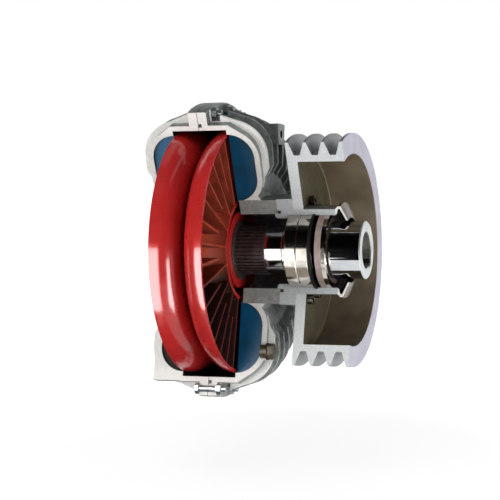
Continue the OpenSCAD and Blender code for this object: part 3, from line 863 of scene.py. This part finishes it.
@dataclass(frozen=True)
class Bearings:
    """The two deep-groove ball bearings between the housing and the shaft."""

    rows: tuple[str, ...] = ("bearing_a", "bearing_b")

    def dress(self, kit: Kit) -> None:
        """Gives the bearings' pieces their finishes.

        Args:
            kit: the frame's nodes.
        """
        races = [f"{row}_{race}" for row in self.rows for race in ("outer_race", "inner_race")]
        kit.dress(races, Finish("lapped_bearing_steel", BEARING_STEEL, edge=0.4))
        # Bearing balls, lapped to a mirror.
        ball = Skin("#DADBDC", "#CFD0D2", rough=0.06, metal=1.0, swing=0.02, grain=2.0, relief=0.001)
        kit.dress([f"{row}_balls" for row in self.rows], Finish("polished_balls", ball, edge=0.2))
        # Cages pressed from sheet brass: yellow, half bright.
        brass = Skin("#B08D4A", "#9A783A", rough=0.3, metal=1.0, patch=6.0, grain=1.6, relief=0.01)
        kit.dress([f"{row}_cage" for row in self.rows], Finish("pressed_cage_brass", brass, edge=0.2))


@dataclass(frozen=True)
class Softbox:
    """A soft lamp, placed round the coupling by its bearing from the front and its height angle."""

    name: str
    bearing: float
    height: float
    distance: float
    size: tuple[float, float]
    power: float


@dataclass(frozen=True)
class Card:
    """A flat card that only mirror-like surfaces see, in metres: a corner from the aim and two sides."""

    name: str
    corner: tuple[float, float, float]
    width: tuple[float, float, float]
    rise: tuple[float, float, float]
    tone: str
    glow: float = 1.0


@dataclass(frozen=True)
class Studio:
    """The camera, the pale floor, the white surroundings, the lamps and the cards."""

    bearing: float = 18.315
    elevation: float = 6.719
    roll: float = 2.066
    distance: float = 1.6648
    lens: float = 112.14
    sensor: float = 36.0
    clip_end: float = 50.0
    aim_from_joint: tuple[float, float, float] = (0.03247, 0.01056, -0.00155)
    ambient: float = 0.42
    floor_tone: str = "#F2F2F2"
    floor_drop: float = 0.08
    floor_size: float = 8.0
    floor_lift: float = 0.62
    floor_glow: float = 1.27
    floor_fade: tuple[float, float] = (0.25, 0.8)
    lamps: tuple[Softbox, ...] = (
        Softbox("key_lamp", -34.0, -3.0, 1.6, (0.6, 0.7), 13.5),
        Softbox("fill_lamp", 72.0, -4.0, 1.4, (0.8, 0.26), 10.0),
        Softbox("back_lamp", 180.0, 4.0, 1.8, (1.2, 0.4), 5.0),
        Softbox("top_lamp", -18.0, 64.0, 1.4, (1.0, 0.5), 3.5),
    )
    # White cards draw the streaks on the runners and the bands on the shaft. Flags beside, behind and above
    # the camera, and mats on the floor, keep the enamel deep and give the steel its black bands.
    cards: tuple[Card, ...] = (
        Card("wheel_card", (-0.116, -0.22, -0.15), (0.1, 0, 0), (0, 0, 0.18), "#FFFFFF", 15.0),
        Card("strip_card", (0.18, -0.252, -0.23), (0.03, 0.11, 0), (0, 0, 0.22), "#FFFFFF", 16.0),
        Card("white_card", (-0.42, -0.55, -0.234), (0.354, 0, 0), (0, 0, 0.334), "#FFFFFF", 2.0),
        Card("front_flag", (-0.066, -0.55, -0.234), (0.216, 0, 0), (0, 0, 1.65), "#050505"),
        Card("left_flag", (-0.42, -0.55, 0.1), (0.354, 0, 0), (0, 0, 1.316), "#050505"),
        Card("side_flag", (0.15, -0.55, -0.234), (0.85, 0.2, 0), (0, 0, 1.65), "#0A0A0A"),
        Card("right_flag", (1.0, -0.35, -0.234), (0, 1.6, 0), (0, 0, 1.65), "#0A0A0A"),
        Card("far_flag", (-0.42, -0.55, -0.234), (-0.5, 0.9, 0), (0, 0, 1.65), "#0A0A0A"),
        Card("left_mat", (-0.7, -0.35, -0.229), (0.6, 0, 0), (0, 0.6, 0), "#0A0A0A"),
        Card("wheel_mat", (-0.11, -0.17, -0.16), (0.1, 0, 0), (0, 0.12, 0), "#0A0A0A"),
        Card("floor_mat", (-0.03, -0.55, -0.23), (0.18, 0, 0), (0, 0.18, 0), "#050505"),
        Card("grey_mat", (-0.06, -0.25, -0.229), (0.08, 0, 0), (0, 0.19, 0), "#A59F94"),
        Card("top_card", (-0.4, -0.1, 1.3), (0.45, 0, 0), (0, 1.3, 0), "#B4B4B4"),
        Card("ceiling_flag", (-1.2, -0.6, 1.35), (2.0, 0, 0), (0, 3.0, 0), "#1A1A1A"),
    )

    def spot(self, aim: Vector, bearing: float, height: float, distance: float) -> Vector:
        """Finds a place round the aim.

        Args:
            aim: the point that is gone round.
            bearing: degrees round the vertical, 0 in front and 90 on the pulley's side.
            height: degrees above the horizon.
            distance: metres from the aim.

        Returns:
            The place in the frame.
        """
        turn, lift = math.radians(bearing), math.radians(height)
        flat = math.cos(lift)
        return aim + distance * Vector((math.sin(turn) * flat, -math.cos(turn) * flat, math.sin(lift)))

    def place_camera(self, aim: Vector) -> None:
        """Makes the camera at the photograph's viewing angle.

        Args:
            aim: the point in the middle of the picture.
        """
        data = bpy.data.cameras.new("photo_camera")
        data.lens = self.lens
        data.sensor_width = self.sensor
        data.clip_end = self.clip_end
        camera = bpy.data.objects.new("photo_camera", data)
        bpy.context.scene.collection.objects.link(camera)
        place = self.spot(aim, self.bearing, self.elevation, self.distance)
        back = (place - aim).normalized()
        level = Vector((0, 0, 1)).cross(back).normalized()
        upright = back.cross(level)
        roll = math.radians(self.roll)
        right = math.cos(roll) * level - math.sin(roll) * upright
        up = math.sin(roll) * level + math.cos(roll) * upright
        turn = Matrix((right, up, back)).transposed()
        camera.matrix_world = Matrix.Translation(place) @ turn.to_4x4()
        bpy.context.scene.camera = camera

    def seen(self, tree: bpy.types.NodeTree) -> bpy.types.NodeSocket:
        """Adds the nodes that tell whether the camera, a mirror or glass looks at a point.

        Args:
            tree: the node tree that asks.

        Returns:
            An output that is 1 for such a look and 0 for soft light.
        """
        rays = add_node(tree, "LightPath", "Is Camera Ray", {}).node.outputs
        found = rays["Is Camera Ray"]
        for other in ("Is Glossy Ray", "Is Transmission Ray"):
            found = add_node(
                tree, "Math", "Value", {"Value": found, "Value_001": rays[other]}, operation="MAXIMUM"
            )
        return found

    def place_world(self) -> None:
        """Makes the white surroundings, which light the coupling more softly than they look."""
        world = bpy.data.worlds.new("white_studio")
        world.use_nodes = True
        tree = world.node_tree
        tree.nodes.clear()
        strength = add_node(
            tree, "MapRange", "Result", {"Value": self.seen(tree), "To Min": self.ambient, "To Max": 1.0}
        )
        light = add_node(tree, "Background", "Background", {"Color": WHITE, "Strength": strength})
        add_node(tree, "OutputWorld", "", {"Surface": light})
        bpy.context.scene.world = world

    def place_panel(
        self, name: str, corners: Sequence[Vector], finish: bpy.types.Material
    ) -> bpy.types.Object:
        """Makes a flat four-cornered panel that isn't part of the coupling.

        Args:
            name: the panel's name.
            corners: its corners in order.
            finish: its material.

        Returns:
            The panel.
        """
        mesh = bpy.data.meshes.new(name)
        mesh.from_pydata([tuple(corner) for corner in corners], [], [(0, 1, 2, 3)])
        mesh.materials.append(finish)
        panel = bpy.data.objects.new(name, mesh)
        bpy.context.scene.collection.objects.link(panel)
        panel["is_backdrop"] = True
        return panel

    def place_floor(self, aim: Vector, lowest: float) -> None:
        """Makes the pale floor, which keeps the coupling's soft shadow.

        Args:
            aim: the point that the floor is centred under.
            lowest: the coupling's lowest height.
        """
        low = lowest - self.floor_drop
        finish = bpy.data.materials.new("matt_white_floor")
        finish.use_nodes = True
        tree = finish.node_tree
        tree.nodes.clear()
        paint = add_node(tree, "BsdfDiffuse", "BSDF", {"Color": linear(self.floor_tone)})
        glow = add_node(tree, "Emission", "Emission", {"Color": WHITE, "Strength": self.floor_glow})
        point = add_node(tree, "TexCoord", "Object", {})
        away = add_node(
            tree,
            "VectorMath",
            "Value",
            {"Vector": point, "Vector_001": (aim.x, aim.y, low)},
            operation="DISTANCE",
        )
        # Near the coupling the floor shows its shadow, and far off it runs into the white world.
        lift = add_node(
            tree,
            "MapRange",
            "Result",
            {
                "Value": away,
                "From Min": self.floor_fade[0],
                "From Max": self.floor_fade[1],
                "To Min": self.floor_lift,
                "To Max": 1.0,
            },
        )
        share = add_node(
            tree, "Math", "Value", {"Value": self.seen(tree), "Value_001": lift}, operation="MULTIPLY"
        )
        both = add_node(tree, "MixShader", "Shader", {"Fac": share, "Shader": paint, "Shader_001": glow})
        add_node(tree, "OutputMaterial", "", {"Surface": both})
        half = self.floor_size / 2
        corners = [
            Vector((aim.x + side * half, aim.y + way * half, low))
            for side, way in ((-1, -1), (1, -1), (1, 1), (-1, 1))
        ]
        self.place_panel("studio_floor", corners, finish)

    def place_lamps(self, aim: Vector) -> None:
        """Makes the soft lamps. Mirror-like surfaces see the cards in their place.

        Args:
            aim: the point that they face.
        """
        for box in self.lamps:
            data = bpy.data.lights.new(box.name, "AREA")
            data.shape = "RECTANGLE"
            data.size, data.size_y = box.size
            data.energy = box.power
            lamp = bpy.data.objects.new(box.name, data)
            bpy.context.scene.collection.objects.link(lamp)
            lamp.location = self.spot(aim, box.bearing, box.height, box.distance)
            lamp.rotation_mode = "QUATERNION"
            lamp.rotation_quaternion = (aim - lamp.location).to_track_quat("-Z", "Y")
            lamp.visible_camera = False
            lamp.visible_glossy = False

    def place_cards(self, aim: Vector) -> None:
        """Makes the cards that give polished metal and enamel their white and black bands.

        Args:
            aim: the point that they are placed from.
        """
        for card in self.cards:
            finish = bpy.data.materials.new(card.name)
            finish.use_nodes = True
            tree = finish.node_tree
            tree.nodes.clear()
            bounces = add_node(tree, "LightPath", "Diffuse Depth", {})
            direct = add_node(
                tree,
                "Math",
                "Value",
                {"Value": bounces, "Value_001": MIRROR_BOUNCES},
                operation="LESS_THAN",
            )
            glow = add_node(
                tree, "Math", "Value", {"Value": direct, "Value_001": card.glow}, operation="MULTIPLY"
            )
            light = add_node(tree, "Emission", "Emission", {"Color": linear(card.tone), "Strength": glow})
            add_node(tree, "OutputMaterial", "", {"Surface": light})
            first, width, rise = aim + Vector(card.corner), Vector(card.width), Vector(card.rise)
            corners = [first, first + width, first + width + rise, first + rise]
            panel = self.place_panel(card.name, corners, finish)
            panel.visible_camera = False
            panel.visible_diffuse = False
            panel.visible_shadow = False
            panel.visible_transmission = False

    def build(self, kit: Kit) -> None:
        """Sets up the whole studio round the coupling.

        Args:
            kit: the frame's nodes.
        """
        aim = Vector((kit.joint, 0.0, 0.0)) + Vector(self.aim_from_joint)
        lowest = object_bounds()[0].z
        bpy.context.scene.view_settings.view_transform = "Standard"
        self.place_camera(aim)
        self.place_world()
        self.place_floor(aim, lowest)
        self.place_lamps(aim)
        self.place_cards(aim)
        LOG.info("studio is set up with %d lamps and %d cards", len(self.lamps), len(self.cards))


def main() -> None:
    """Loads the frame, dresses each sub-assembly and sets up the studio."""
    logging.basicConfig(level=logging.INFO, format="%(name)s: %(message)s")
    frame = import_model()
    kit = Kit(frame)
    for part in (Casing(), Drive(), Rotor(), Bearings()):
        part.dress(kit)
    Studio().build(kit)


if __name__ == "__main__":
    main()
